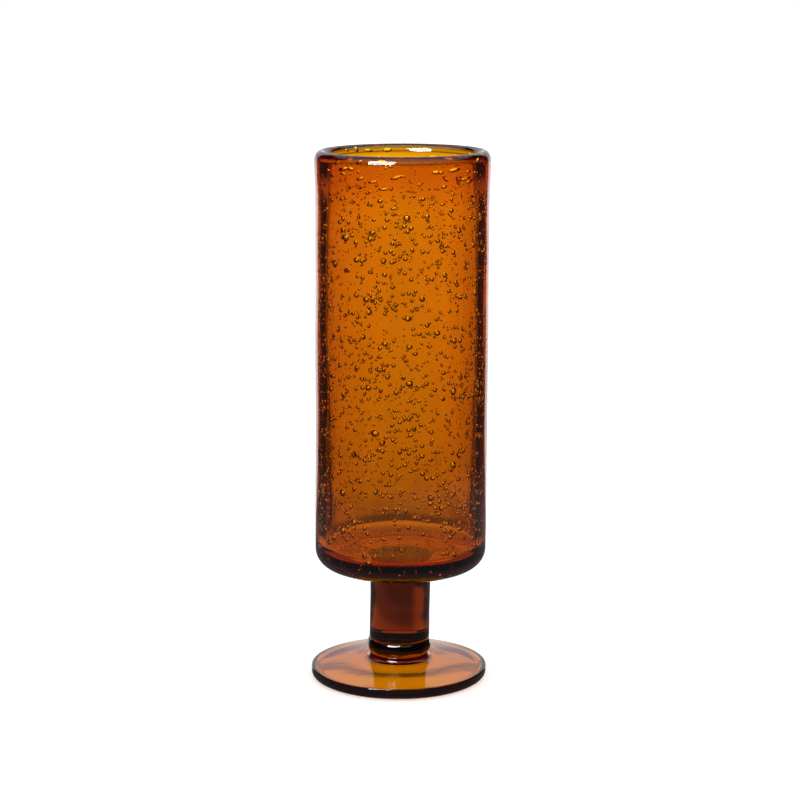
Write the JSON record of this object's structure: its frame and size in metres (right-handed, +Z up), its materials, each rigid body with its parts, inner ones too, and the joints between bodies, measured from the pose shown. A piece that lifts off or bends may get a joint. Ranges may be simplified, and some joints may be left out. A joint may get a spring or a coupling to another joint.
{
  "type": "footed bud vase",
  "caption": "Tall straight-sided bubble-glass vase on a short solid stem, a collar and a round foot, open at the top for cut flower stems.",
  "frame": {"origin": "centre of the foot's underside, on the surface that the vase stands on", "axes": "+Z up along the vase's axis of revolution"},
  "size_m": [0.0732, 0.0732, 0.22],
  "materials": {
    "bubble_glass": "amber blown glass full of small air bubbles, fire-polished",
    "stem_glass": "amber solid glass, fire-polished, slightly wavy",
    "foot_glass": "amber pressed glass, fire-polished, smooth shallow hollow underneath"
  },
  "bodies": {
    "root": {"bowl": "bubble_glass", "stem": "stem_glass", "collar": "stem_glass", "foot": "foot_glass"}
  },
  "joints": []
}
